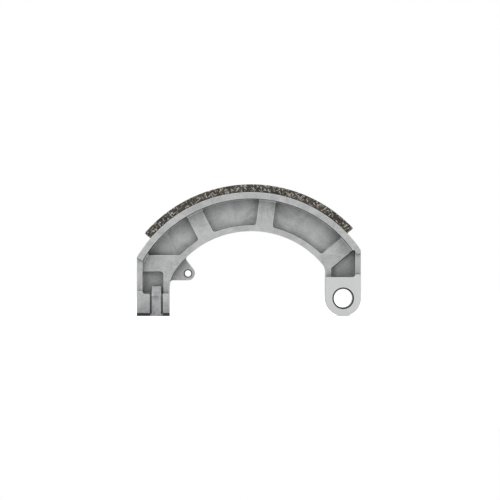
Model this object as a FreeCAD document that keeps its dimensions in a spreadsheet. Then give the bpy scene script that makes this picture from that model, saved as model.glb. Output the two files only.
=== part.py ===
import FreeCAD, Part
import os
from math import atan2, cos, pi, radians, sin

import Sketcher
from FreeCAD import Vector

# A drum brake shoe with a bonded lining, die cast in light alloy. It stands as an arch, as it is drawn:
# +Z up, the cam end at -X, the pivot at +X, the width along Y with the middle plane at y = 0.
# Every sketch is laid out round the axis of the drum. The parts are then moved as a whole, so that the
# centre of the pivot bore is the origin.

# Driving sizes, in millimetres and degrees. Angles are counted from +X at the drum's centre.
SIZES = {
    "drumRadius": (75.0, "the drum, and so the working face of the lining"),
    "liningThickness": (4.0, "friction lining"),
    "liningWidth": (24.0, "friction lining, along the drum's axis"),
    "liningStartAngle": (43.4, "the lining's end beside the pivot"),
    "liningFinishAngle": (139.4, "the lining's end beside the cam"),
    "bondLine": (0.1, "film of adhesive, left as a clearance between lining and rim"),
    "rimThickness": (3.5, "rim that carries the lining"),
    "rimWidth": (25.0, "rim, along the drum's axis"),
    "shoeDepth": (20.9, "from the rim's seat in to the free edge of the arch"),
    "webThickness": (5.0, "web on the middle plane"),
    "ribLevel": (13.0, "across the ribs and the bead of both sides"),
    "ribWidth": (9.1, "each rib"),
    "beadThickness": (3.3, "bead along the free edge of the arch"),
    "pivotPocket": (4.64, "from the top of the eye up to the rib above it, along the bead"),
    "crownRibAngle": (82.4, "rib at the crown"),
    "shoulderRibAngle": (116.9, "rib between the crown and the cam end"),
    "camRibAngle": (147.0, "level rib above the cam block, measured halfway up the web"),
    "pocketCorner": (1.6, "corner radius of the pockets beside the bead"),
    "rimCorner": (0.9, "corner radius of the pockets beside the rim"),
    "pocketRoot": (0.7, "fillet round the floor of the pockets"),
    "rimRoot": (1.2, "fillet where the ribs meet the underside of the rim"),
    "stripThickness": (3.0, "straight ends of the rim, down to cam block and eye"),
    "stripWidth": (18.0, "the same, along the drum's axis"),
    "camInset": (9.8, "flat back of the cam end, in from the rim's seat"),
    "camBlockLength": (17.3, "cam block, from its flat back to the free edge"),
    "camBlockHeight": (12.0, "cam block with its wear plate"),
    "camBlockWidth": (21.0, "cam block, along the drum's axis"),
    "camBendAngle": (143.73, "where the arch bends off towards the cam block's inner side"),
    "footFillet": (1.4, "fillet at the foot of the straight ends"),
    "pivotInset": (12.2, "flat back of the pivot end, in from the rim's seat"),
    "pivotHeight": (14.1, "pivot above the line through the drum's centre"),
    "pivotBendRadius": (6.4, "radius from the arch into the eye's inner side"),
    "pivotBendRatio": (2.0, "the most that this radius may be, per height from the eye's top to the arch"),
    "pivotCorner": (4.0, "radius from the rim's seat into the flat back of the pivot end"),
    "eyeRadius": (9.5, "round end of the pivot eye"),
    "eyeShoulder": (11.4, "from the pivot up to the top of the eye"),
    "eyeWidth": (22.0, "pivot eye, along the drum's axis"),
    "boreDiameter": (10.05, "pivot bore, running on a 10 mm pin"),
    "boreChamfer": (0.6, "both mouths of the pivot bore"),
    "lugAngle": (141.1, "spring lug"),
    "lugReach": (6.5, "from the free edge of the arch to the lug's hole"),
    "lugRadius": (3.7, "round end of the spring lug"),
    "lugThickness": (4.0, "spring lug"),
    "lugHole": (3.4, "hole for the return spring's hook"),
    "lugHoleChamfer": (0.4, "both mouths of that hole"),
    "lugEdgeAngle": (127.7, "direction of the lug's upper edge"),
    "lugRoot": (1.6, "fillet at both roots of the lug"),
    "plateThickness": (1.5, "sheet of the wear plate"),
    "legWidth": (5.0, "leg folded up each face of the cam block"),
    "legPlace": (10.45, "middle of the leg, from the flat back"),
    "legHeight": (16.0, "leg with its latch, from the cam's face"),
    "legSink": (0.3, "how far the leg lies below the block's face"),
    "legClearance": (0.1, "between the leg and the floor of its groove"),
    "grooveGap": (0.95, "beside the leg, on each side"),
    "grooveLeadIn": (1.0, "bevel at the groove's lower end, clear of the fold"),
    "foldRadius": (0.8, "inside radius of the sheet's folds"),
    "latchAngle": (35.0, "how far the leg's tip leans in over the block"),
    "latchDrop": (1.6, "where the latch begins, below the top of the block"),
}

# Sizes that follow from those above.
DERIVED = {
    "rimRadius": "=drumRadius - liningThickness - bondLine",
    "liningInside": "=drumRadius - liningThickness",
    "rimUnderside": "=rimRadius - rimThickness",
    "archRadius": "=rimRadius - shoeDepth",
    "beadRadius": "=archRadius + beadThickness",
    "camFlat": "=rimRadius - camInset",
    "camInner": "=camFlat - camBlockLength",
    "camBendCosine": "=-cos(camBendAngle * 1 deg)",
    "camBend": "=(camInner - archRadius * camBendCosine) / (1 - camBendCosine)",
    "camStripInner": "=camFlat - stripThickness",
    "camFace": "=pivotHeight - eyeRadius",
    "blockFoot": "=camFace + plateThickness",
    "blockTop": "=camFace + camBlockHeight",
    "camRibHeight": "=(rimUnderside + beadRadius) / 2 * sin(camRibAngle * 1 deg)",
    "camRibTop": "=camRibHeight + ribWidth / 2",
    "camRibFoot": "=camRibHeight - ribWidth / 2",
    "pivotFlat": "=rimRadius - pivotInset",
    "pivotPlace": "=pivotFlat - eyeRadius",
    "eyeInner": "=pivotFlat - 2 * eyeRadius",
    "pivotStripInner": "=pivotFlat - stripThickness",
    "eyeTop": "=pivotHeight + eyeShoulder",
    "archMeetsEye": "=sqrt(archRadius ^ 2 - eyeInner ^ 2)",
    "pivotBend": "=min(pivotBendRadius; pivotBendRatio * abs(archMeetsEye - eyeTop))",
    "pivotRibPlace": "=eyeInner + beadThickness",
    "pivotRibFoot": "=eyeTop + pivotPocket",
    "pivotRibReach": "=sqrt(pivotRibPlace ^ 2 + pivotRibFoot ^ 2)",
    "pivotRibAngle": "=(atan2(pivotRibFoot; pivotRibPlace) + asin(ribWidth / 2 / pivotRibReach)) / 1 deg",
    "camStripTop": "=sqrt(rimUnderside ^ 2 - camStripInner ^ 2)",
    "camCorner": "=sqrt(rimRadius ^ 2 - camFlat ^ 2)",
    "pivotStripTop": "=sqrt(rimUnderside ^ 2 - pivotStripInner ^ 2)",
    "lugPlace": "=(archRadius - lugReach) * -cos(lugAngle * 1 deg)",
    "lugLevel": "=(archRadius - lugReach) * sin(lugAngle * 1 deg)",
    "legOffset": "=camFlat - legPlace",
    "legOuter": "=camBlockWidth / 2 - legSink",
    "legInner": "=legOuter - plateThickness",
    "grooveFloor": "=legInner - legClearance",
    "grooveWidth": "=legWidth + 2 * grooveGap",
    "legTop": "=camFace + legHeight",
    "latchCorner": "=blockTop - latchDrop + foldRadius * tan(latchAngle * 0.5 deg)",
    "latchInside": "=legInner * cos(latchAngle * 1 deg) + latchCorner * sin(latchAngle * 1 deg)",
    "latchOutside": "=latchInside + plateThickness",
    "latchEnd": "=legTop / cos(latchAngle * 1 deg) - latchOutside * tan(latchAngle * 1 deg)",
    "notchFloor": "=legInner - foldRadius - grooveGap / 2",
}

LEFT, RIGHT = -1, 1
BELOW, ABOVE = -1, 1
FAR = 1000.0  # millimetres: a point well outside the shoe
OVER = 2.0  # millimetres: how far a cut runs past the face that it opens

doc = FreeCAD.newDocument("BrakeShoe")


# The sheet


def fill_sheet():
    sheet = doc.addObject("Spreadsheet::Sheet", "Size")
    row = 1
    for name, (number, meaning) in SIZES.items():
        sheet.set(f"A{row}", name)
        sheet.set(f"B{row}", str(number))
        sheet.set(f"C{row}", meaning)
        sheet.setAlias(f"B{row}", name)
        row += 1
    for name, formula in DERIVED.items():
        sheet.set(f"A{row}", name)
        sheet.setAlias(f"B{row}", name)
        sheet.set(f"B{row}", formula)
        row += 1
    doc.recompute()
    return sheet


sheet = fill_sheet()


def worth(expression):
    return float(sheet.evalExpression(expression))


# Sides of an outline. Each is an endless line or a full circle, travelled in one direction with the inside
# of the outline at its left. Its ties are the constraints that hold it, each bound to the sheet.


class Line:
    def __init__(self, point, angle, ties):
        self.point = point
        self.along = Vector(cos(angle), sin(angle), 0)
        self.ties = ties

    def curve(self, left=0.0):
        aside = self.point + Vector(-self.along.y, self.along.x, 0) * left
        ahead = aside + self.along
        flat = FreeCAD.Base.Vector2d
        return Part.Geom2d.Line2d(flat(aside.x, aside.y), flat(ahead.x, ahead.y))

    def foot(self, point):
        return self.point + self.along * (point - self.point).dot(self.along)

    def heading(self, point):
        return self.along

    def piece(self, start, end):
        return Part.LineSegment(start, end), (1, 2)


class Ring:
    def __init__(self, centre, radius, turn, ties):
        self.centre = centre
        self.radius = radius
        self.turn = turn
        self.ties = ties

    def curve(self, left=0.0):
        flat = FreeCAD.Base.Vector2d
        return Part.Geom2d.Circle2d(flat(self.centre.x, self.centre.y), self.radius - self.turn * left)

    def foot(self, point):
        return self.centre + (point - self.centre).normalize() * self.radius

    def heading(self, point):
        out = (point - self.centre).normalize()
        return Vector(-out.y, out.x, 0) * self.turn

    def piece(self, start, end):
        first, last = (start, end) if self.turn > 0 else (end, start)
        angles = [atan2(spot.y - self.centre.y, spot.x - self.centre.x) for spot in (first, last)]
        if angles[1] <= angles[0]:
            angles[1] += 2 * pi
        arc = Part.ArcOfCircle(Part.Circle(self.centre, Vector(0, 0, 1), self.radius), *angles)
        return arc, (1, 2) if self.turn > 0 else (2, 1)


UP, DOWN, LEFTWARD, RIGHTWARD = 90, -90, 180, 0


def upright(where, side, direction, tied=True):
    x = side * worth(where)
    ties = [("Vertical", None)] + ([("DistanceX", where)] if tied else [])
    return Line(Vector(x, 0, 0), radians(direction), ties)


def level(height, direction, side=ABOVE, tied=True):
    ties = [("Horizontal", None)] + ([("DistanceY", height)] if tied else [])
    return Line(Vector(0, side * worth(height), 0), radians(direction), ties)


def spoke(angle):
    return Line(Vector(0, 0, 0), radians(worth(angle)), [("Angle", angle), ("Through", None)])


# The cut from the rim's corner at the back of the cam end in to its corner underneath.
def mitre(outer, outer_height, inner, inner_height):
    start = Vector(-worth(outer), worth(outer_height), 0)
    end = Vector(-worth(inner), worth(inner_height), 0)
    ties = [("DistanceX", outer), ("EndX", inner)]
    return Line(start, atan2(end.y - start.y, end.x - start.x), ties)


# A line at an angle, which passes the centre of the sketch at a distance, on its left or its right.
def slant(angle, distance, centre_at, tied=True):
    heading = radians(worth(angle))
    right = Vector(sin(heading), -cos(heading), 0)
    away = right * worth(distance) * (1 if centre_at == LEFT else -1)
    ties = [("Angle", angle)] + ([("Distance", distance)] if tied else [])
    return Line(away, heading, ties)


# A line at an angle, from a height on the side before it, which stands upright.
def bevel(angle, where, height):
    start = Vector(worth(where), worth(height), 0)
    return Line(start, radians(worth(angle)), [("Angle", angle), ("DistanceY", height)])


ANTICLOCKWISE, CLOCKWISE = 1, -1


def arch(radius, turn):
    return Ring(Vector(0, 0, 0), worth(radius), turn, [("Centre", None), ("Radius", radius)])


def boss(where, side, height, radius, turn):
    centre = Vector(side * worth(where), worth(height), 0)
    ties = [("CentreX", where), ("CentreY", height), ("Radius", radius)]
    return Ring(centre, worth(radius), turn, ties)


# Sketches


def nearest(curve, other, point):
    spots = [Vector(spot.x, spot.y, 0) for spot in curve.intersectCC(other)]
    return min(spots, key=lambda spot: (spot - point).Length)


# A corner's own arc, or None, with the ends that it leaves for the sides before and after it.
def corner(before, after, kind, toward):
    if kind == "tangent":
        ring, line = (before, after) if isinstance(before, Ring) else (after, before)
        spot = line.foot(ring.centre)
        return None, spot, spot
    spot = nearest(before.curve(), after.curve(), toward)
    if kind == "sharp":
        return None, spot, spot
    first, second = before.heading(spot), after.heading(spot)
    turn = ANTICLOCKWISE if first.x * second.y > first.y * second.x else CLOCKWISE
    radius = worth(kind)
    centre = nearest(before.curve(turn * radius), after.curve(turn * radius), spot)
    fillet = Ring(centre, radius, turn, [("Radius", kind)])
    return fillet, before.foot(centre), after.foot(centre)


def bind(sketch, constraint, expression):
    index = sketch.addConstraint(constraint)
    if expression:
        name = f"size{index}"
        sketch.renameConstraint(index, name)
        sketch.setExpression(f"Constraints.{name}", expression)


CENTRE = (-1, 1)  # the sketch's own centre point


def tie(sketch, index, side, kind, expression):
    number = worth(expression) if expression else None
    if kind in ("Vertical", "Horizontal"):
        made = Sketcher.Constraint(kind, index)
    elif kind == "Angle":
        made = Sketcher.Constraint(kind, index, radians(number))
    elif kind == "Distance":
        made = Sketcher.Constraint(kind, *CENTRE, index, number)
    elif kind == "Radius":
        made = Sketcher.Constraint(kind, index, number)
    elif kind == "Through":
        made = Sketcher.Constraint("PointOnObject", *CENTRE, index)
    elif kind == "Centre":
        made = Sketcher.Constraint("Coincident", index, 3, *CENTRE)
    elif kind in ("CentreX", "CentreY"):
        place = side.centre.x if kind == "CentreX" else side.centre.y
        ends = (*CENTRE, index, 3) if place > 0 else (index, 3, *CENTRE)
        made = Sketcher.Constraint("Distance" + kind[-1], *ends, number)
    elif kind == "EndX":
        made = Sketcher.Constraint("DistanceX", index, 2, *CENTRE, number)
    else:
        place = side.point.x if kind == "DistanceX" else side.point.y
        ends = (*CENTRE, index, 1) if place > 0 else (index, 1, *CENTRE)
        made = Sketcher.Constraint(kind, *ends, number)
    bind(sketch, made, expression)


# Draws a closed outline. corners[i] joins sides[i] to the next: "sharp", "tangent" or a fillet's radius.
# Where two sides could meet twice, toward picks the meeting that is meant.
def outline(sketch, sides, corners, toward=Vector(0, FAR, 0)):
    count = len(sides)
    if isinstance(toward, Vector):
        toward = [toward] * count
    joints = [corner(sides[i], sides[(i + 1) % count], corners[i], toward[i]) for i in range(count)]
    pieces = []
    for i, side in enumerate(sides):
        start, end = joints[i - 1][2], joints[i][1]
        pieces.append((side, *side.piece(start, end), corners[i]))
        if joints[i][0]:
            fillet = joints[i][0]
            pieces.append((fillet, *fillet.piece(joints[i][1], joints[i][2]), "tangent"))
    indices = [sketch.addGeometry(shape) for _, shape, _, _ in pieces]
    for k, (side, shape, ends, kind) in enumerate(pieces):
        following = (k + 1) % len(pieces)
        joint = "Coincident" if kind == "sharp" else "Tangent"
        places = (indices[k], ends[1], indices[following], pieces[following][2][0])
        sketch.addConstraint(Sketcher.Constraint(joint, *places))
    for index, (side, shape, ends, kind) in zip(indices, pieces):
        for name, expression in side.ties:
            tie(sketch, index, side, name, expression)


def circle(sketch, where, side, height, diameter):
    ring = boss(where, side, height, f"{diameter} / 2", ANTICLOCKWISE)
    index = sketch.addGeometry(Part.Circle(ring.centre, Vector(0, 0, 1), ring.radius))
    for name, expression in ring.ties:
        tie(sketch, index, ring, name, expression)


def add_sketch(body, name, plane="XZ_Plane", offset=None):
    sketch = body.newObject("Sketcher::SketchObject", name)
    origin = [feature for feature in body.Origin.OriginFeatures if feature.Role == plane][0]
    sketch.AttachmentSupport = [(origin, "")]
    sketch.MapMode = "FlatFace"
    if offset:
        sketch.setExpression("AttachmentOffset.Base.z", offset)
    return sketch


# Features


def add_body(name):
    body = doc.addObject("PartDesign::Body", name)
    body.Label = name
    body.setExpression("Placement.Base.x", "-Size.pivotPlace")
    body.setExpression("Placement.Base.z", "-Size.pivotHeight")
    return body


def add_feature(body, kind, name, sketch, length, symmetric):
    feature = body.newObject(f"PartDesign::{kind}", name)
    feature.Profile = sketch
    feature.SideType = "Symmetric" if symmetric else "One side"
    feature.setExpression("Length", length)
    body.Tip = feature
    doc.recompute()
    return feature


def pad(body, name, sketch, length, symmetric=True):
    return add_feature(body, "Pad", name, sketch, length, symmetric)


def pocket(body, name, sketch, length, symmetric=True):
    before = body.Shape.Volume
    cut = add_feature(body, "Pocket", name, sketch, length, symmetric)
    assert body.Shape.Volume < before, f"{name} cuts nothing"
    return cut


# The same feature on the other side of the middle plane.
def mirror(body, name, original):
    copy = body.newObject("PartDesign::Mirrored", name)
    copy.Originals = [original]
    plane = [feature for feature in body.Origin.OriginFeatures if feature.Role == "XZ_Plane"][0]
    copy.MirrorPlane = (plane, [""])
    body.Tip = copy
    doc.recompute()


def dress(body, kind, name, size, wanted):
    base = body.Tip
    edges = [f"Edge{i + 1}" for i, edge in enumerate(base.Shape.Edges) if wanted(edge)]
    feature = body.newObject(f"PartDesign::{kind}", name)
    feature.Base = (base, edges)
    feature.setExpression("Radius" if kind == "Fillet" else "Size", size)
    body.Tip = feature
    doc.recompute()
    return feature


# Tests that pick an edge by where it lies in its body


def across(edge, y):
    return all(abs(abs(vertex.Y) - y) < 0.001 for vertex in edge.Vertexes)


def spans(edge, y):
    ends = sorted(vertex.Y for vertex in edge.Vertexes)
    return len(ends) == 2 and abs(ends[0] + y) < 0.001 and abs(ends[1] - y) < 0.001


def is_ring(edge, radius):
    curve = edge.Curve
    return isinstance(curve, Part.Circle) and abs(curve.Radius - radius) < 0.001


# The shoe casting


def draw_silhouette(sketch):
    sides = [
        level("Size.blockFoot", RIGHTWARD),
        upright("Size.camInner", LEFT, UP),
        arch("Size.archRadius", CLOCKWISE),
        upright("Size.eyeInner", RIGHT, DOWN, tied=False),
        boss("Size.pivotPlace", RIGHT, "Size.pivotHeight", "Size.eyeRadius", ANTICLOCKWISE),
        upright("Size.pivotFlat", RIGHT, UP, tied=False),
        arch("Size.rimRadius", ANTICLOCKWISE),
        upright("Size.camFlat", LEFT, DOWN),
    ]
    corners = ["sharp", "Size.camBend", "Size.pivotBend", "tangent", "tangent", "Size.pivotCorner"]
    outline(sketch, sides, corners + ["sharp", "sharp"])


# A rib's two flanks, as lines along its spoke. The inside of the pocket beside it is at their left.
def flank(angle, outward):
    heading = angle if outward else f"{angle} + 180"
    return slant(heading, "Size.ribWidth / 2", RIGHT)


def draw_pockets(sketch):
    upper_left = Vector(-FAR, FAR, 0)
    upper_right = Vector(FAR, FAR, 0)
    rim = "Size.rimUnderside"
    bead = "Size.beadRadius"
    round_corner = "Size.pocketCorner"
    rim_corner = "Size.rimCorner"
    # between the level rib and the shoulder rib
    sides = [
        level("Size.camRibTop", RIGHTWARD),
        arch(bead, CLOCKWISE),
        flank("Size.shoulderRibAngle", True),
        arch(rim, ANTICLOCKWISE),
    ]
    outline(sketch, sides, [round_corner, round_corner, rim_corner, rim_corner], upper_left)
    # between the shoulder rib and the crown rib, and between the crown rib and the pivot rib
    ribs = ["Size.shoulderRibAngle", "Size.crownRibAngle", "Size.pivotRibAngle"]
    for left_rib, right_rib in zip(ribs, ribs[1:]):
        sides = [
            flank(left_rib, False),
            arch(bead, CLOCKWISE),
            flank(right_rib, True),
            arch(rim, ANTICLOCKWISE),
        ]
        outline(sketch, sides, [round_corner, round_corner, rim_corner, rim_corner])
    # below the pivot rib, down to the eye
    sides = [
        flank("Size.pivotRibAngle", False),
        upright("Size.pivotRibPlace", RIGHT, DOWN),
        level("Size.eyeTop", RIGHTWARD),
        upright("Size.pivotStripInner", RIGHT, UP),
    ]
    outline(sketch, sides, [round_corner, "sharp", "sharp", rim_corner], upper_right)
    # below the level rib, down to the cam block
    sides = [
        level("Size.camRibFoot", LEFTWARD),
        upright("Size.camStripInner", LEFT, DOWN),
        level("Size.blockTop", RIGHTWARD),
        upright("Size.camInner + Size.beadThickness", LEFT, UP),
    ]
    outline(sketch, sides, [rim_corner, "sharp", "sharp", round_corner], upper_left)


def draw_rim(sketch):
    sides = [
        arch("Size.rimRadius", ANTICLOCKWISE),
        mitre("Size.camFlat", "Size.camCorner", "Size.camStripInner", "Size.camStripTop"),
        arch("Size.rimUnderside", CLOCKWISE),
        level("Size.pivotStripTop", RIGHTWARD),
        upright("Size.pivotFlat", RIGHT, UP),
    ]
    toward = [Vector(-FAR, FAR, 0)] * 2 + [Vector(FAR, FAR, 0)] * 3
    outline(sketch, sides, ["sharp", "sharp", "sharp", "sharp", "Size.pivotCorner"], toward)


def draw_strips(sketch):
    cam_end = [
        level("Size.blockFoot", RIGHTWARD),
        upright("Size.camStripInner", LEFT, UP),
        level("Size.camCorner", LEFTWARD),
        upright("Size.camFlat", LEFT, DOWN),
    ]
    pivot_end = [
        level("Size.pivotHeight", RIGHTWARD),
        upright("Size.pivotFlat", RIGHT, UP),
        level("Size.pivotStripTop", LEFTWARD),
        upright("Size.pivotStripInner", RIGHT, DOWN),
    ]
    for sides in (cam_end, pivot_end):
        outline(sketch, sides, ["sharp"] * len(sides))


def draw_cam_block(sketch):
    foot_centre = ("Size.camStripInner - Size.footFillet", LEFT, "Size.blockTop + Size.footFillet")
    sides = [
        level("Size.blockFoot", RIGHTWARD),
        upright("Size.camInner", LEFT, UP),
        level("Size.blockTop", LEFTWARD, tied=False),
        boss(*foot_centre, "Size.footFillet", CLOCKWISE),
        level("Size.blockTop + Size.footFillet", LEFTWARD),
        upright("Size.camFlat", LEFT, DOWN),
    ]
    corners = ["sharp", "sharp", "tangent", "sharp", "sharp", "sharp"]
    outline(sketch, sides, corners, Vector(-FAR, FAR, 0))


def draw_eye(sketch):
    foot_centre = ("Size.pivotStripInner - Size.footFillet", RIGHT, "Size.eyeTop + Size.footFillet")
    sides = [
        boss("Size.pivotPlace", RIGHT, "Size.pivotHeight", "Size.eyeRadius", ANTICLOCKWISE),
        upright("Size.pivotFlat", RIGHT, UP, tied=False),
        level("Size.eyeTop + Size.footFillet", LEFTWARD),
        boss(*foot_centre, "Size.footFillet", CLOCKWISE),
        level("Size.eyeTop", LEFTWARD, tied=False),
        upright("Size.eyeInner", RIGHT, DOWN, tied=False),
    ]
    corners = ["tangent", "sharp", "sharp", "tangent", "sharp", "tangent"]
    outline(sketch, sides, corners, Vector(FAR, FAR, 0))


# The lug reaches back into the web, which hides the fourth side.
def draw_lug(sketch):
    lug = ("Size.lugPlace", LEFT, "Size.lugLevel")
    # the upper edge touches the round end, so its distance from the centre follows from the lug's place
    edge = "(Size.lugEdgeAngle - 90) * 1 deg"
    edge_distance = f"Size.lugRadius - Size.lugPlace * cos({edge}) + Size.lugLevel * sin({edge})"
    sides = [
        level("Size.lugLevel - Size.lugRadius", RIGHTWARD, tied=False),
        boss(*lug, "Size.lugRadius", ANTICLOCKWISE),
        slant("Size.lugEdgeAngle", edge_distance, LEFT, tied=False),
        slant("Size.lugAngle + 90", "Size.archRadius + Size.beadThickness / 2", LEFT),
    ]
    outline(sketch, sides, ["tangent", "tangent", "sharp", "sharp"])


# The groove's section, seen along X, with Y to the right.
def draw_groove(sketch):
    outside = f"Size.camBlockWidth / 2 + {OVER}"
    sides = [
        upright(outside, RIGHT, UP),
        level(f"Size.blockTop + {OVER}", LEFTWARD),
        slant("Size.latchAngle - 90", "Size.latchInside - Size.legClearance", RIGHT),
        upright("Size.grooveFloor", RIGHT, DOWN),
        bevel("225", "Size.grooveFloor", "Size.blockFoot + Size.grooveLeadIn"),
        level(f"Size.blockFoot - {OVER}", RIGHTWARD),
    ]
    outline(sketch, sides, ["sharp"] * len(sides))


def round_edges(body):
    lug_side = worth("Size.lugThickness / 2")
    lug_centre = Vector(-worth("Size.lugPlace"), 0, worth("Size.lugLevel"))
    lug_end = worth("Size.lugRadius") + 0.01

    def is_lug_root(edge):
        middle = edge.CenterOfMass
        return spans(edge, lug_side) and abs(middle.y) < 0.001 and (middle - lug_centre).Length > lug_end

    dress(body, "Fillet", "LugRoots", "Size.lugRoot", is_lug_root)

    eye_side = worth("Size.eyeWidth / 2")
    bore = worth("Size.boreDiameter / 2")
    hole = worth("Size.lugHole / 2")

    def is_bore_mouth(edge):
        return across(edge, eye_side) and is_ring(edge, bore)

    def is_hole_mouth(edge):
        return across(edge, lug_side) and is_ring(edge, hole)

    dress(body, "Chamfer", "BoreMouths", "Size.boreChamfer", is_bore_mouth)
    dress(body, "Chamfer", "HoleMouths", "Size.lugHoleChamfer", is_hole_mouth)


def add_pad(body, name, draw, width):
    sketch = add_sketch(body, f"{name}Outline")
    draw(sketch)
    pad(body, name, sketch, width)


def fillet_rim_roots(body):
    rib_side = worth("Size.ribLevel / 2")
    underside = worth("Size.rimUnderside")

    def is_rim_root(edge):
        return across(edge, rib_side) and is_ring(edge, underside)

    dress(body, "Fillet", "RimRoots", "Size.rimRoot", is_rim_root)


# The pockets are cut in from the rim's edge, so they take its root fillets away between the ribs.
def cut_pockets(body):
    sketch = add_sketch(body, "PocketOutlines", offset="Size.rimWidth / 2")
    draw_pockets(sketch)
    cut = pocket(body, "Pockets", sketch, "(Size.rimWidth - Size.webThickness) / 2", symmetric=False)
    mirror(body, "PocketsBehind", cut)
    floor = worth("Size.webThickness / 2")
    dress(body, "Fillet", "PocketRoots", "Size.pocketRoot", lambda edge: across(edge, floor))


def make_casting():
    body = add_body("shoe_casting")
    sketch = add_sketch(body, "Silhouette")
    draw_silhouette(sketch)
    pad(body, "RibLevel", sketch, "Size.ribLevel")
    add_pad(body, "Rim", draw_rim, "Size.rimWidth")
    fillet_rim_roots(body)
    add_pad(body, "Strips", draw_strips, "Size.stripWidth")
    cut_pockets(body)
    add_pad(body, "CamBlock", draw_cam_block, "Size.camBlockWidth")
    add_pad(body, "PivotEye", draw_eye, "Size.eyeWidth")
    add_pad(body, "SpringLug", draw_lug, "Size.lugThickness")
    sketch = add_sketch(body, "GrooveSection", "YZ_Plane", "-Size.legOffset")
    draw_groove(sketch)
    groove = pocket(body, "Groove", sketch, "Size.grooveWidth")
    mirror(body, "GrooveBehind", groove)
    sketch = add_sketch(body, "BoreOutline")
    circle(sketch, "Size.pivotPlace", RIGHT, "Size.pivotHeight", "Size.boreDiameter")
    circle(sketch, "Size.lugPlace", LEFT, "Size.lugLevel", "Size.lugHole")
    pocket(body, "Bores", sketch, f"Size.eyeWidth + {OVER}")
    round_edges(body)
    return body


# The friction lining


def make_lining():
    body = add_body("friction_lining")
    sketch = add_sketch(body, "LiningOutline")
    sides = [
        spoke("Size.liningStartAngle"),
        arch("Size.drumRadius", ANTICLOCKWISE),
        spoke("Size.liningFinishAngle + 180"),
        arch("Size.liningInside", CLOCKWISE),
    ]
    outline(sketch, sides, ["sharp"] * len(sides))
    pad(body, "Lining", sketch, "Size.liningWidth")
    return body


# The wear plate on the cam end, folded from one piece of sheet


def draw_plate(sketch):
    sides = [
        level("Size.camBlockWidth / 2", RIGHTWARD, BELOW),
        upright("Size.camInner", LEFT, UP),
        level("Size.camBlockWidth / 2", LEFTWARD),
        upright("Size.camFlat", LEFT, DOWN),
    ]
    outline(sketch, sides, ["sharp"] * len(sides))


def draw_notch(sketch):
    sides = [
        level("Size.notchFloor", RIGHTWARD),
        upright("Size.legOffset - Size.grooveWidth / 2", LEFT, UP),
        level(f"Size.camBlockWidth / 2 + {OVER}", LEFTWARD),
        upright("Size.legOffset + Size.grooveWidth / 2", LEFT, DOWN),
    ]
    outline(sketch, sides, ["sharp"] * len(sides))


# The leg's section, seen along X, with Y to the right.
def draw_leg(sketch):
    sides = [
        level("Size.camFace", RIGHTWARD),
        upright("Size.legOuter", RIGHT, UP),
        slant("Size.latchAngle + 90", "Size.latchOutside", LEFT),
        slant("Size.latchAngle + 180", "Size.latchEnd", LEFT),
        slant("Size.latchAngle - 90", "Size.latchInside", RIGHT),
        upright("Size.legInner", RIGHT, DOWN),
        level("Size.blockFoot", LEFTWARD),
        upright("Size.notchFloor / 2", RIGHT, DOWN),
    ]
    outer = "Size.foldRadius + Size.plateThickness"
    inner = "Size.foldRadius"
    outline(sketch, sides, [outer, outer, "sharp", "sharp", inner, inner, "sharp", "sharp"])


def make_plate():
    body = add_body("cam_wear_plate")
    sketch = add_sketch(body, "PlateOutline", "XY_Plane", "Size.camFace")
    draw_plate(sketch)
    pad(body, "Plate", sketch, "Size.plateThickness", symmetric=False)
    sketch = add_sketch(body, "NotchOutline", "XY_Plane", "Size.blockFoot")
    draw_notch(sketch)
    notch = pocket(body, "Notch", sketch, "Size.plateThickness", symmetric=False)
    mirror(body, "NotchBehind", notch)
    sketch = add_sketch(body, "LegSection", "YZ_Plane", "-Size.legOffset")
    draw_leg(sketch)
    leg = pad(body, "Leg", sketch, "Size.legWidth")
    mirror(body, "LegBehind", leg)
    return body


bodies = [make_casting(), make_lining(), make_plate()]
doc.recompute()

for item in doc.Objects:
    if "Invalid" in item.State or "Error" in item.State:
        raise RuntimeError(f"{item.Name} failed: {item.State}")
    if item.TypeId == "Sketcher::SketchObject" and not item.FullyConstrained:
        raise RuntimeError(f"{item.Name} isn't held by its constraints")
for body in bodies:
    if body.Shape.isNull() or not body.Shape.isValid() or len(body.Shape.Solids) != 1:
        raise RuntimeError(f"{body.Label} isn't one valid solid")

os.makedirs("parts", exist_ok=True)
for body in bodies:
    body.Shape.exportStep(f"parts/{body.Label}.step")
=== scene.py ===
import math

import bmesh
import bpy
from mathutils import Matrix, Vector
from mathutils.bvhtree import BVHTree


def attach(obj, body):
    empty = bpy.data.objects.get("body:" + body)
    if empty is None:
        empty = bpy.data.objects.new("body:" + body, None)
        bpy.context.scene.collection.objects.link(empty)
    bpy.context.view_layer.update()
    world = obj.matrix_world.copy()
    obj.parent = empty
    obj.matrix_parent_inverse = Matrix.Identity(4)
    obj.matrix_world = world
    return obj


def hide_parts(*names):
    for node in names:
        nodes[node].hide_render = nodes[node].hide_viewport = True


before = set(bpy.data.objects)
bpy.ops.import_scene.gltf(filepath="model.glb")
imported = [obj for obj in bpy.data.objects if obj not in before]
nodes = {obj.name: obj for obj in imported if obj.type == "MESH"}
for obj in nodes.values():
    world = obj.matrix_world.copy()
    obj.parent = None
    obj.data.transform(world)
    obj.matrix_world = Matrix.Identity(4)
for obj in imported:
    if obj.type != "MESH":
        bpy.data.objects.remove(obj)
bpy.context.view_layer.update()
mm = 0.001
print("frame loaded:", ", ".join(sorted(nodes)))


def linear(hexColour):
    channels = [int(hexColour[i:i + 2], 16) / 255 for i in (1, 3, 5)]
    return [c / 12.92 if c <= 0.04045 else ((c + 0.055) / 1.055) ** 2.4 for c in channels] + [1.0]


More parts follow.
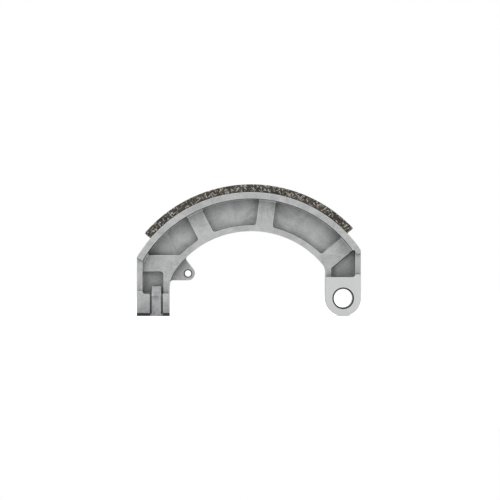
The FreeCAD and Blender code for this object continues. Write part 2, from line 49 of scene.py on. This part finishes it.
# adds one node and gives back one of its outputs; an input is a value, or the output it is linked from
def addNode(tree, kind, inputs=(), output=0, **settings):
    node = tree.nodes.new(kind)
    for name, value in settings.items():
        setattr(node, name, value)
    for name, value in inputs.items() if isinstance(inputs, dict) else enumerate(inputs):
        if isinstance(value, bpy.types.NodeSocket):
            tree.links.new(value, node.inputs[name])
        else:
            node.inputs[name].default_value = value
    return node.outputs[output] if node.outputs else node


def newMaterial(name):
    material = bpy.data.materials.new(name)
    material.use_nodes = True
    material.node_tree.nodes.clear()
    return material, material.node_tree


# Die cast aluminium as it leaves the die: a grey satin skin, mottled by a fine grain and soft flow marks,
# with a faint parting line round the middle and edges rubbed brighter. The eye's faces are turned, so they
# are brighter and carry fine rings. Its bore and the lug's hole, out past their chamfers, are coloured dark,
# and corners that other walls shut in get painted shade.
def castAluminium():
    look = {
        "skin": "#8e8f8f",
        "skinPale": "#aaabab",
        # the colour of the painted shade laid into recesses that other walls shut in
        "recessPaintedShade": "#37393a",
        "rubbed": "#c0c1c1",
        "turned": "#b8baba",
        "bore": "#2c2e30",
        "metallic": 0.8,  # not quite 1, for the thin oxide on a casting
        "roughness": (0.49, 0.39),  # where the metal ran slow and where it ran fast
        "roughnessTurned": 0.3,
        "rubbedEdge": 0.8,  # mm from an edge
        "rubbedMost": 0.7,  # how bright the sharpest edge gets, of 1
        "shadeReach": 10.0,  # mm within which other walls shut a place in, for the painted shade
        "shadeMost": 0.9,  # how dark the painted shade gets in the tightest corner, of 1
        "flowMarks": 9.0,  # mm, soft marks where the metal ran
        "grain": 0.45,  # mm, really about 0.2, drawn as coarse as it needs to show
        "grainShare": 0.9,  # of the grain in the mottling, beside 1 of the flow marks
        "turnedRings": 0.55,  # mm, really 0.1 a turn, drawn coarser to show
        "ringDepth": 0.14,  # of the relief's own height
        "relief": 0.08,  # mm, the height of the grain
        "eyeFace": 10.95,  # mm from the middle plane, just under the turned faces
        "eyeReach": (-10.0, 12.9),  # mm, how far the turned faces reach along x and z
        "boreReach": 5.8,  # mm from the bore's axis, out past its chamfers, that is coloured dark
        "lugHole": (-83.054, 0.0, 13.217),  # mm, in the part's frame
        "lugHoleReach": 2.25,  # mm from that hole's axis, likewise
        "partingLine": 0.2,  # mm from the middle plane
    }
    material, tree = newMaterial("dieCastAluminium")
    spot = addNode(tree, "ShaderNodeTexCoord", output="Object")
    place = addNode(tree, "ShaderNodeMapping", {"Vector": spot, "Scale": (1000, 1000, 1000)})  # millimetres
    x, y, z = addNode(tree, "ShaderNodeSeparateXYZ", [place]).node.outputs
    aside = addNode(tree, "ShaderNodeMath", [y], operation="ABSOLUTE")
    level = addNode(tree, "ShaderNodeCombineXYZ", {"X": x, "Z": z})
    fromBore = addNode(tree, "ShaderNodeVectorMath", [level], "Value", operation="LENGTH")

    # the turned places
    onFace = addNode(tree, "ShaderNodeMath", [aside, look["eyeFace"]], operation="GREATER_THAN")
    rightOf = addNode(tree, "ShaderNodeMath", [x, look["eyeReach"][0]], operation="GREATER_THAN")
    under = addNode(tree, "ShaderNodeMath", [z, look["eyeReach"][1]], operation="LESS_THAN")
    nearEye = addNode(tree, "ShaderNodeMath", [rightOf, under], operation="MULTIPLY")
    onEye = addNode(tree, "ShaderNodeMath", [onFace, nearEye], operation="MULTIPLY")
    inBore = addNode(tree, "ShaderNodeMath", [fromBore, look["boreReach"]], operation="LESS_THAN")
    holeMiddle = addNode(tree, "ShaderNodeVectorMath", [level, look["lugHole"]], operation="SUBTRACT")
    fromHole = addNode(tree, "ShaderNodeVectorMath", [holeMiddle], "Value", operation="LENGTH")
    inHole = addNode(tree, "ShaderNodeMath", [fromHole, look["lugHoleReach"]], operation="LESS_THAN")
    drilled = addNode(tree, "ShaderNodeMath", [inBore, inHole], operation="MAXIMUM")
    turned = addNode(tree, "ShaderNodeMath", [onEye, drilled], operation="MAXIMUM")

    # edges that are open to the light are rubbed bright; corners that are shut in get painted shade
    rounded = addNode(tree, "ShaderNodeBevel", [look["rubbedEdge"] * mm], samples=6)
    normal = addNode(tree, "ShaderNodeNewGeometry", output="Normal")
    bend = addNode(tree, "ShaderNodeVectorMath", [rounded, normal], "Value", operation="DOT_PRODUCT")
    edge = addNode(tree, "ShaderNodeMapRange", [bend, 0.99, 0.86], interpolation_type="SMOOTHSTEP")
    shadeReach = look["shadeReach"] * mm
    inLight = addNode(tree, "ShaderNodeAmbientOcclusion", {"Distance": shadeReach}, "AO", samples=8)
    exposed = addNode(tree, "ShaderNodeMapRange", [inLight, 0.55, 0.85], interpolation_type="SMOOTHSTEP")
    rubbed = addNode(tree, "ShaderNodeMath", [edge, exposed], operation="MULTIPLY")
    rubbed = addNode(tree, "ShaderNodeMath", [rubbed, look["rubbedMost"]], operation="MULTIPLY")
    # painted shade: the colour darkens where other walls shut a place in
    paintedShade = addNode(tree, "ShaderNodeMapRange", [inLight, 1.0, 0.1, 0.0, look["shadeMost"]])

    flow = addNode(tree, "ShaderNodeTexNoise", {
        "Vector": place,
        "Scale": 1 / look["flowMarks"],
        "Detail": 4.0,
        "Roughness": 0.6,
        "Distortion": 1.2,
    })
    grain = addNode(tree, "ShaderNodeTexNoise", {
        "Vector": place,
        "Scale": 1 / look["grain"],
        "Detail": 3.0,
        "Roughness": 0.6,
    })
    mottled = addNode(tree, "ShaderNodeMath", [grain, look["grainShare"], flow], operation="MULTIPLY_ADD")
    pale = addNode(tree, "ShaderNodeMapRange", [mottled, 0.62, 1.2], interpolation_type="SMOOTHSTEP")
    colours = {0: pale, 6: linear(look["skin"]), 7: linear(look["skinPale"])}
    colour = addNode(tree, "ShaderNodeMix", colours, 2, data_type="RGBA")
    # painted shade in recesses first, then rubbed edges, turned faces and the dark bore
    for where, name in ((paintedShade, "recessPaintedShade"), (rubbed, "rubbed"), (onEye, "turned"), (drilled, "bore")):
        colours = {0: where, 6: colour, 7: linear(look[name])}
        colour = addNode(tree, "ShaderNodeMix", colours, 2, data_type="RGBA")

    # rougher and smoother patches on the skin, smoother at rubbed edges and where it is turned
    rough = addNode(tree, "ShaderNodeMapRange", [flow, 0.3, 0.7, *look["roughness"]])
    bright = addNode(tree, "ShaderNodeMath", [rubbed, turned], operation="MAXIMUM")
    rough = addNode(tree, "ShaderNodeMix", {0: bright, 2: rough, 3: look["roughnessTurned"]})

    seam = [aside, 1.5 * look["partingLine"], 0.5 * look["partingLine"], 0.0, 1.5]
    seam = addNode(tree, "ShaderNodeMapRange", seam)
    skin = addNode(tree, "ShaderNodeMath", [grain, seam], operation="ADD")
    perRing = 2 * math.pi / look["turnedRings"]
    rings = addNode(tree, "ShaderNodeMath", [fromBore, perRing], operation="MULTIPLY")
    rings = addNode(tree, "ShaderNodeMath", [rings], operation="SINE")
    rings = addNode(tree, "ShaderNodeMath", [rings, look["ringDepth"]], operation="MULTIPLY")
    height = addNode(tree, "ShaderNodeMix", {0: turned, 2: skin, 3: rings})
    relief = {"Height": height, "Distance": look["relief"] * mm, "Strength": 0.85}
    relief = addNode(tree, "ShaderNodeBump", relief)
    surface = addNode(tree, "ShaderNodeBsdfPrincipled", {
        "Base Color": colour,
        "Metallic": look["metallic"],
        "Roughness": rough,
        "Normal": relief,
    })
    addNode(tree, "ShaderNodeOutputMaterial", {"Surface": surface})
    return material


# Moulded friction composite: dark resin and mineral filler, dull, crowded with pale fibres lying both ways
# and chips of brass and steel. The working face is ground, and a brown line of adhesive shows at the rim.
def frictionComposite():
    look = {
        "resin": "#262422",
        "resinPale": "#423e39",
        "fibre": "#b5afa5",
        "brass": "#9d8a63",
        "steel": "#a3a5a6",
        "adhesive": "#4a3322",
        "chip": 1.6,  # mm, the cell that may hold a chip
        "chipLeast": 0.6,  # cells above this, of 1, hold one
        "chipSize": 0.36,  # the largest chip's radius, of a cell
        "fibreLength": 2.4,  # mm
        "fibreWidth": 0.6,  # mm, really 0.1, drawn coarser to show
        "fibreTurns": (0.6, -0.9),  # radians, how the two sets of fibres lie
        "fibrePaleness": 0.8,  # of 1
        "grit": 0.7,  # mm
        "cloud": 5.0,  # mm, paler and darker places in the mix
        "drumAxis": (-49.2, 0.0, -14.1),  # mm, in the part's frame
        "groundFrom": 74.9,  # mm from that axis
        "adhesiveTo": 71.15,  # mm from it
        "grinding": (2.2, 6.0),  # marks per mm of width and per radian round the drum
        "relief": 0.09,  # mm, the height of the grit
    }
    material, tree = newMaterial("frictionComposite")
    spot = addNode(tree, "ShaderNodeTexCoord", output="Object")
    place = addNode(tree, "ShaderNodeMapping", {"Vector": spot, "Scale": (1000, 1000, 1000)})  # millimetres
    width = addNode(tree, "ShaderNodeSeparateXYZ", [place], "Y")
    fromAxis = addNode(tree, "ShaderNodeVectorMath", [place, look["drumAxis"]], operation="SUBTRACT")
    across = addNode(tree, "ShaderNodeVectorMath", [fromAxis, (1, 0, 1)], operation="MULTIPLY")
    radius = addNode(tree, "ShaderNodeVectorMath", [across], "Value", operation="LENGTH")
    ground = addNode(tree, "ShaderNodeMath", [radius, look["groundFrom"]], operation="GREATER_THAN")
    glued = addNode(tree, "ShaderNodeMath", [radius, look["adhesiveTo"]], operation="LESS_THAN")

    cloud = addNode(tree, "ShaderNodeTexNoise", {"Vector": place, "Scale": 1 / look["cloud"], "Detail": 3.0})
    cloud = addNode(tree, "ShaderNodeMapRange", [cloud, 0.35, 0.65], interpolation_type="SMOOTHSTEP")
    grit = addNode(tree, "ShaderNodeTexNoise", {"Vector": place, "Scale": 1 / look["grit"], "Detail": 4.0})
    speck = addNode(tree, "ShaderNodeMapRange", [grit, 0.52, 0.7, 0.0, 1.0], interpolation_type="SMOOTHSTEP")
    paler = addNode(tree, "ShaderNodeMath", [cloud, speck], operation="MAXIMUM")
    colours = {0: paler, 6: linear(look["resin"]), 7: linear(look["resinPale"])}
    colour = addNode(tree, "ShaderNodeMix", colours, 2, data_type="RGBA")

    # stretched noise makes one set of fibres, and a second set lies across the first
    fibres = 0.0
    stretch = (1 / look["fibreLength"], 1 / look["fibreWidth"], 1 / look["fibreWidth"])
    for turn in look["fibreTurns"]:
        lie = addNode(tree, "ShaderNodeMapping", {"Vector": place, "Rotation": (0.35, turn, 0.5 * turn)})
        lie = addNode(tree, "ShaderNodeMapping", {"Vector": lie, "Scale": stretch})
        one = addNode(tree, "ShaderNodeTexNoise", {"Vector": lie, "Scale": 1.0, "Detail": 1.0})
        one = addNode(tree, "ShaderNodeMapRange", [one, 0.6, 0.66], interpolation_type="SMOOTHSTEP")
        fibres = addNode(tree, "ShaderNodeMath", [fibres, one], operation="MAXIMUM")
    fibres = addNode(tree, "ShaderNodeMath", [fibres, look["fibrePaleness"]], operation="MULTIPLY")
    colours = {0: fibres, 6: colour, 7: linear(look["fibre"])}
    colour = addNode(tree, "ShaderNodeMix", colours, 2, data_type="RGBA")

    # each cell may hold one chip, of its own size and metal
    cells = addNode(tree, "ShaderNodeTexVoronoi", {"Vector": place, "Scale": 1 / look["chip"]}).node.outputs
    first, second, third = addNode(tree, "ShaderNodeSeparateColor", [cells["Color"]]).node.outputs
    chosen = addNode(tree, "ShaderNodeMath", [first, look["chipLeast"]], operation="GREATER_THAN")
    reach = addNode(tree, "ShaderNodeMath", [second, look["chipSize"]], operation="MULTIPLY")
    inside = addNode(tree, "ShaderNodeMath", [cells["Distance"], reach], operation="LESS_THAN")
    chip = addNode(tree, "ShaderNodeMath", [chosen, inside], operation="MULTIPLY")
    isBrass = addNode(tree, "ShaderNodeMath", [third, 0.5], operation="GREATER_THAN")
    colours = {0: isBrass, 6: linear(look["steel"]), 7: linear(look["brass"])}
    chipColour = addNode(tree, "ShaderNodeMix", colours, 2, data_type="RGBA")
    colour = addNode(tree, "ShaderNodeMix", {0: chip, 6: colour, 7: chipColour}, 2, data_type="RGBA")
    colours = {0: glued, 6: colour, 7: linear(look["adhesive"])}
    colour = addNode(tree, "ShaderNodeMix", colours, 2, data_type="RGBA")
    bare = addNode(tree, "ShaderNodeMath", [1.0, glued], operation="SUBTRACT")
    metal = addNode(tree, "ShaderNodeMath", [chip, bare], operation="MULTIPLY")

    # grinding marks run round the drum, so they are long there and fine across the width
    awayX, awayY, awayZ = addNode(tree, "ShaderNodeSeparateXYZ", [fromAxis]).node.outputs
    angle = addNode(tree, "ShaderNodeMath", [awayZ, awayX], operation="ARCTAN2")
    marks = addNode(tree, "ShaderNodeCombineXYZ", [width, angle])
    marks = addNode(tree, "ShaderNodeMapping", {"Vector": marks, "Scale": (*look["grinding"], 1)})
    marks = addNode(tree, "ShaderNodeTexNoise", {"Vector": marks, "Scale": 1.0, "Detail": 3.0})
    marks = addNode(tree, "ShaderNodeMath", [ground, marks], operation="MULTIPLY")
    rough = addNode(tree, "ShaderNodeMapRange", [marks, 0.0, 1.0, 0.88, 0.6])
    rough = addNode(tree, "ShaderNodeMix", {0: metal, 2: rough, 3: 0.4})

    height = addNode(tree, "ShaderNodeMath", [fibres, 0.5, grit], operation="MULTIPLY_ADD")
    height = addNode(tree, "ShaderNodeMath", [chip, 0.4, height], operation="MULTIPLY_ADD")
    height = addNode(tree, "ShaderNodeMath", [marks, 1.2, height], operation="MULTIPLY_ADD")
    relief = {"Height": height, "Distance": look["relief"] * mm, "Strength": 0.9}
    relief = addNode(tree, "ShaderNodeBump", relief)
    surface = addNode(tree, "ShaderNodeBsdfPrincipled", {
        "Base Color": colour,
        "Metallic": metal,
        "Roughness": rough,
        "Normal": relief,
    })
    addNode(tree, "ShaderNodeOutputMaterial", {"Surface": surface})
    return material


# Cold rolled steel sheet, sheared and folded: a grey, fairly bright face with a fine grain along the strip.
# The sheared edges of its base are torn, dull and dark.
def coldRolledSteel():
    look = {
        "face": "#939495",
        "faceDark": "#77787a",
        "facePale": "#b3b4b5",
        "torn": "#36383a",
        "roughness": 0.32,
        "grainLength": 14.0,  # mm, along the strip
        "grainWidth": 0.45,  # mm, really 0.05, drawn coarser to show
        "stain": 4.0,  # mm, darker places left by the rolls
        "tear": 0.4,  # mm, the pits of a torn edge
        "relief": 0.04,  # mm, their depth
        "tornBelow": -8.05,  # mm, the height of the base's top, just under it
        "middle": (-101.65, 0.0),  # mm, the base's middle along x and y
        "sheared": (8.45, 10.3),  # mm from it along x and y, just inside the sheared edges
    }
    material, tree = newMaterial("coldRolledSteel")
    spot = addNode(tree, "ShaderNodeTexCoord", output="Object")
    place = addNode(tree, "ShaderNodeMapping", {"Vector": spot, "Scale": (1000, 1000, 1000)})  # millimetres
    x, y, z = addNode(tree, "ShaderNodeSeparateXYZ", [place]).node.outputs
    run = addNode(tree, "ShaderNodeMath", [y, z], operation="ADD")  # across the base and on up the legs
    along = addNode(tree, "ShaderNodeCombineXYZ", [x, run])
    stretch = (1 / look["grainWidth"], 1 / look["grainLength"], 1)
    along = addNode(tree, "ShaderNodeMapping", {"Vector": along, "Scale": stretch})
    grain = addNode(tree, "ShaderNodeTexNoise", {
        "Vector": along,
        "Scale": 1.0,
        "Detail": 3.0,
        "Roughness": 0.6,
    })
    stain = addNode(tree, "ShaderNodeTexNoise", {"Vector": place, "Scale": 1 / look["stain"], "Detail": 3.0})
    dark = addNode(tree, "ShaderNodeMapRange", [stain, 0.4, 0.7], interpolation_type="SMOOTHSTEP")
    colours = {0: dark, 6: linear(look["face"]), 7: linear(look["faceDark"])}
    colour = addNode(tree, "ShaderNodeMix", colours, 2, data_type="RGBA")
    streak = [grain, 0.5, 0.8, 0.0, 0.5]
    streak = addNode(tree, "ShaderNodeMapRange", streak, interpolation_type="SMOOTHSTEP")
    colours = {0: streak, 6: colour, 7: linear(look["facePale"])}
    colour = addNode(tree, "ShaderNodeMix", colours, 2, data_type="RGBA")

    low = addNode(tree, "ShaderNodeMath", [z, look["tornBelow"]], operation="LESS_THAN")
    atEdge = 0.0
    for across, middle, reach in zip((x, y), look["middle"], look["sheared"]):
        away = addNode(tree, "ShaderNodeMath", [across, middle], operation="SUBTRACT")
        away = addNode(tree, "ShaderNodeMath", [away], operation="ABSOLUTE")
        away = addNode(tree, "ShaderNodeMath", [away, reach], operation="GREATER_THAN")
        atEdge = addNode(tree, "ShaderNodeMath", [atEdge, away], operation="MAXIMUM")
    torn = addNode(tree, "ShaderNodeMath", [low, atEdge], operation="MULTIPLY")
    colours = {0: torn, 6: colour, 7: linear(look["torn"])}
    colour = addNode(tree, "ShaderNodeMix", colours, 2, data_type="RGBA")
    rough = addNode(tree, "ShaderNodeMath", [grain, 0.14, look["roughness"]], operation="MULTIPLY_ADD")
    rough = addNode(tree, "ShaderNodeMath", [torn, 0.25, rough], operation="MULTIPLY_ADD")

    tear = addNode(tree, "ShaderNodeTexNoise", {"Vector": place, "Scale": 1 / look["tear"], "Detail": 2.0})
    tear = addNode(tree, "ShaderNodeMath", [tear, torn], operation="MULTIPLY")
    height = addNode(tree, "ShaderNodeMath", [grain, 0.3, tear], operation="MULTIPLY_ADD")
    relief = {"Height": height, "Distance": look["relief"] * mm, "Strength": 0.7}
    relief = addNode(tree, "ShaderNodeBump", relief)
    surface = addNode(tree, "ShaderNodeBsdfPrincipled", {
        "Base Color": colour,
        "Metallic": 1.0,
        "Roughness": rough,
        "Normal": relief,
    })
    addNode(tree, "ShaderNodeOutputMaterial", {"Surface": surface})
    return material


edgeRadius = {"castingVisual": 0.25 * mm, "wearPlateVisual": 0.12 * mm}

rounding = {
    "sharpAngle": math.radians(32),  # edges that turn more than this are rounded
    "creaseAngle": math.radians(50),  # edges left at more than this stay a crease
    "steps": 2,
    "tries": 8,  # at leaving out edges that fold over
    "samePoint": 0.0005 * mm,  # points closer than this are one
    "flatAngle": math.radians(0.3),  # faces that turn less than this are one flat
    "strayMost": 0.5,  # of the radius, how far a point may lie from the old surface
    "facingLeast": 0.2,  # a face that faces the old surface's way by less, of 1, has folded over
    "smallest": 1e-12,  # square metres; a face smaller than this faces no way to speak of
    "blamed": 1.2,  # of the radius; edges nearer than this to a spoiled place are left sharp
}


# a copy of a CAD node as one closed mesh
def mergedCopy(source):
    work = bmesh.new()
    work.from_mesh(source)
    bmesh.ops.remove_doubles(work, verts=work.verts, dist=rounding["samePoint"])
    flat = rounding["flatAngle"]
    bmesh.ops.dissolve_limit(work, angle_limit=flat, verts=work.verts, edges=work.edges)
    work.edges.ensure_lookup_table()
    return work


# where a rounded edge has left the old surface or folded over it
def spoiledPlaces(work, surface, radius):
    most = rounding["strayMost"] * radius
    places = [v.co.copy() for v in work.verts if surface.find_nearest(v.co)[3] > most]
    for face in work.faces:
        if len(face.verts) > 4:  # a flat, whose middle may lie off it
            continue
        if face.calc_area() < rounding["smallest"]:
            continue
        middle = face.calc_center_median()
        if face.normal.dot(surface.find_nearest(middle)[1]) < rounding["facingLeast"]:
            places.append(middle)
    return places


def distanceTo(edge, point):
    start, end = edge.verts[0].co, edge.verts[1].co
    along = end - start
    share = min(max((point - start).dot(along) / along.length_squared, 0.0), 1.0)
    return (start + along * share - point).length


# Rounds the sharp edges of a copy of a CAD node. The few short ones in corners too tight for the radius
# fold over, so those are found and left sharp, as a die or a shear leaves them.
def softened(nodeName, name, material):
    source = nodes[nodeName].data
    before = mergedCopy(source)
    surface = BVHTree.FromBMesh(before)
    radius = edgeRadius[name]
    chosen = {e.index for e in before.edges if e.calc_face_angle() > rounding["sharpAngle"]}
    count = len(chosen)
    work = None
    for turn in range(rounding["tries"]):
        if work:
            work.free()
        work = mergedCopy(source)
        edges = [work.edges[i] for i in sorted(chosen)]
        steps = rounding["steps"]
        bmesh.ops.bevel(work, geom=edges, offset=radius, segments=steps, profile=0.5, affect="EDGES")
        work.normal_update()
        places = spoiledPlaces(work, surface, radius)
        if not places:
            break
        spoiled = set()
        for place in places:
            gaps = {i: distanceTo(before.edges[i], place) for i in chosen}
            reach = max(rounding["blamed"] * radius, min(gaps.values()))
            spoiled.update(i for i, gap in gaps.items() if gap <= reach)
        chosen -= spoiled
    before.free()
    print(name, "edges rounded:", len(chosen), "of", count, "spoiled places left:", len(places))
    for face in work.faces:
        face.smooth = True
    for edge in work.edges:
        edge.smooth = edge.calc_face_angle() < rounding["creaseAngle"]
    mesh = bpy.data.meshes.new(name)
    work.to_mesh(mesh)
    work.free()
    mesh.materials.append(material)
    obj = bpy.data.objects.new(name, mesh)
    bpy.context.scene.collection.objects.link(obj)
    weighted = obj.modifiers.new("flatFacesStayFlat", "WEIGHTED_NORMAL")
    weighted.keep_sharp = True
    return obj


aluminium = castAluminium()
steel = coldRolledSteel()
composite = frictionComposite()
print("materials made")

castingPiece = softened("shoe_casting", "castingVisual", aluminium)
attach(castingPiece, "root")
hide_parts("shoe_casting")

platePiece = softened("cam_wear_plate", "wearPlateVisual", steel)
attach(platePiece, "root")
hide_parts("cam_wear_plate")
print("casting and wear plate made")

lining = {
    "Drum Radius": 74.995 * mm,  # 75, and a hair less so that the band stays inside the CAD model's facets
    "Thickness": 4.07 * mm,  # down onto the rim, through the film of adhesive
    "Width": 24.0 * mm,
    "Start": math.radians(43.4),
    "Sweep": math.radians(96.0),
    "Edge Radius": 0.3 * mm,
    "Edge Steps": 4,
    "Axis": (-49.2 * mm, 0.0, -14.1 * mm),
    "Steps": 193,  # along the arc
}
liningCrease = math.radians(40)  # edges that turn more than this stay a crease


# an arc swept with the lining's section, so that the band follows the drum whatever its size
def liningTree():
    tree = bpy.data.node_groups.new("liningBand", "GeometryNodeTree")
    kinds = {"Axis": "NodeSocketVector", "Steps": "NodeSocketInt", "Edge Steps": "NodeSocketInt"}
    for name in lining:
        tree.interface.new_socket(name, in_out="INPUT", socket_type=kinds.get(name, "NodeSocketFloat"))
    tree.interface.new_socket("Geometry", in_out="OUTPUT", socket_type="NodeSocketGeometry")
    given = addNode(tree, "NodeGroupInput").node.outputs

    half = addNode(tree, "ShaderNodeMath", [given["Thickness"], 0.5], operation="MULTIPLY")
    middle = addNode(tree, "ShaderNodeMath", [given["Drum Radius"], half], operation="SUBTRACT")
    arc = addNode(tree, "GeometryNodeCurveArc", {
        "Resolution": given["Steps"],
        "Radius": middle,
        "Start Angle": given["Start"],
        "Sweep Angle": given["Sweep"],
    })
    section = addNode(tree, "GeometryNodeCurvePrimitiveQuadrilateral", {
        "Width": given["Thickness"],
        "Height": given["Width"],
    })
    section = addNode(tree, "GeometryNodeFilletCurve", {
        "Curve": section,
        "Count": given["Edge Steps"],
        "Radius": given["Edge Radius"],
    }, mode="POLY")
    band = addNode(tree, "GeometryNodeCurveToMesh", {
        "Curve": arc,
        "Profile Curve": section,
        "Fill Caps": True,
    })
    stood = addNode(tree, "GeometryNodeTransform", {
        "Geometry": band,
        "Translation": given["Axis"],
        "Rotation": (math.radians(90), 0, 0),
    })
    real = addNode(tree, "GeometryNodeRealizeInstances", {"Geometry": stood})
    dressed = addNode(tree, "GeometryNodeSetMaterial", {"Geometry": real, "Material": composite})
    addNode(tree, "NodeGroupOutput", {"Geometry": dressed})
    return tree


def makeLining():
    source = bpy.data.objects.new("liningSource", bpy.data.meshes.new("liningSource"))
    bpy.context.scene.collection.objects.link(source)
    tree = liningTree()
    modifier = source.modifiers.new("liningBand", "NODES")
    modifier.node_group = tree
    for item in tree.interface.items_tree:
        if item.in_out == "INPUT":
            modifier[item.identifier] = lining[item.name]
    evaluated = source.evaluated_get(bpy.context.evaluated_depsgraph_get())
    mesh = bpy.data.meshes.new_from_object(evaluated)
    mesh.name = "liningVisual"
    source.modifiers.remove(modifier)
    bpy.data.objects.remove(source)
    work = bmesh.new()
    work.from_mesh(mesh)
    bmesh.ops.remove_doubles(work, verts=work.verts, dist=0.001 * mm)
    bmesh.ops.recalc_face_normals(work, faces=work.faces)
    for face in work.faces:
        face.smooth = True
    for edge in work.edges:
        edge.smooth = edge.calc_face_angle() < liningCrease
    work.to_mesh(mesh)
    work.free()
    obj = bpy.data.objects.new("liningVisual", mesh)
    bpy.context.scene.collection.objects.link(obj)
    return obj


liningPiece = makeLining()
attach(liningPiece, "root")
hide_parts("friction_lining")
print("lining made:", len(liningPiece.data.polygons), "faces")

stage = {
    "floorHeight": -9.5 * mm,
    "floorSize": 3.0,  # metres
    "floor": "#f4f4f2",
    "floorLift": 0.55,  # what the camera sees over the floor's own light, up to white
    "worldLight": 0.4,
}


# 1 where the camera looks, straight or through a reflection, and 0 for the light that falls on things
def seenByCamera(tree):
    ray = addNode(tree, "ShaderNodeLightPath").node.outputs
    seen = [ray["Is Glossy Ray"], ray["Is Transmission Ray"]]
    seen = addNode(tree, "ShaderNodeMath", seen, operation="MAXIMUM")
    return addNode(tree, "ShaderNodeMath", [seen, ray["Is Camera Ray"]], operation="MAXIMUM")


# a pale floor; the camera sees it as white where nothing shades it
def makeFloor():
    half = stage["floorSize"] / 2
    height = stage["floorHeight"]
    mesh = bpy.data.meshes.new("floor")
    corners = [(-half, -half, height), (half, -half, height), (half, half, height), (-half, half, height)]
    mesh.from_pydata(corners, [], [(0, 1, 2, 3)])
    floor = bpy.data.objects.new("floor", mesh)
    bpy.context.scene.collection.objects.link(floor)
    material, tree = newMaterial("paleFloor")
    shade = addNode(tree, "ShaderNodeBsdfDiffuse", {"Color": linear(stage["floor"])})
    strength = [seenByCamera(tree), stage["floorLift"]]
    strength = addNode(tree, "ShaderNodeMath", strength, operation="MULTIPLY")
    lift = addNode(tree, "ShaderNodeEmission", {"Color": (1, 1, 1, 1), "Strength": strength})
    both = addNode(tree, "ShaderNodeAddShader", [shade, lift])
    addNode(tree, "ShaderNodeOutputMaterial", {"Surface": both})
    mesh.materials.append(material)


# soft light all round, which the camera and reflections see as white
def makeWorld():
    world = bpy.data.worlds.new("studio")
    bpy.context.scene.world = world
    world.use_nodes = True
    tree = world.node_tree
    tree.nodes.clear()
    strength = {0: seenByCamera(tree), 2: stage["worldLight"], 3: 1.0}
    strength = addNode(tree, "ShaderNodeMix", strength)
    back = addNode(tree, "ShaderNodeBackground", {"Color": (1, 1, 1, 1), "Strength": strength})
    addNode(tree, "ShaderNodeOutputWorld", {"Surface": back})


centre = Vector((-0.0498, 0.0, 0.0258))  # what the lamps and the camera point at

# places and sizes in metres, the places counted from that centre
lamps = {
    "keyLamp": {"place": (-0.55, -0.75, 0.75), "size": 1.4, "watts": 8.0},
    "fillLamp": {"place": (0.7, -0.8, 0.25), "size": 0.8, "watts": 2.0},
    "topLamp": {"place": (0.1, 0.25, 1.0), "size": 1.2, "watts": 4.0},
}


def makeLamps():
    for name, lamp in lamps.items():
        light = bpy.data.lights.new(name, "AREA")
        light.shape = "DISK"
        light.size = lamp["size"]
        light.energy = lamp["watts"]
        obj = bpy.data.objects.new(name, light)
        obj.location = centre + Vector(lamp["place"])
        obj.rotation_mode = "QUATERNION"
        obj.rotation_quaternion = (centre - obj.location).to_track_quat("-Z", "Y")
        bpy.context.scene.collection.objects.link(obj)


view = {
    "lens": 320.0,  # mm, long, because the drawing has no perspective
    "sensor": 36.0,  # mm
    "across": 0.267,  # metres of the object's plane across the picture
    "plane": -0.0122,  # the shoe's near side
}


def makeCamera():
    data = bpy.data.cameras.new("camera")
    data.lens = view["lens"]
    data.sensor_width = view["sensor"]
    data.clip_start = 0.05
    data.clip_end = 50
    distance = view["across"] * view["lens"] / view["sensor"]
    camera = bpy.data.objects.new("camera", data)
    camera.location = (centre.x, view["plane"] - distance, centre.z)
    camera.rotation_euler = (math.radians(90), 0, 0)
    bpy.context.scene.collection.objects.link(camera)
    bpy.context.scene.camera = camera


makeFloor()
makeWorld()
makeLamps()
makeCamera()
bpy.context.scene.view_settings.view_transform = "Standard"
print("stage, lamps and camera made")
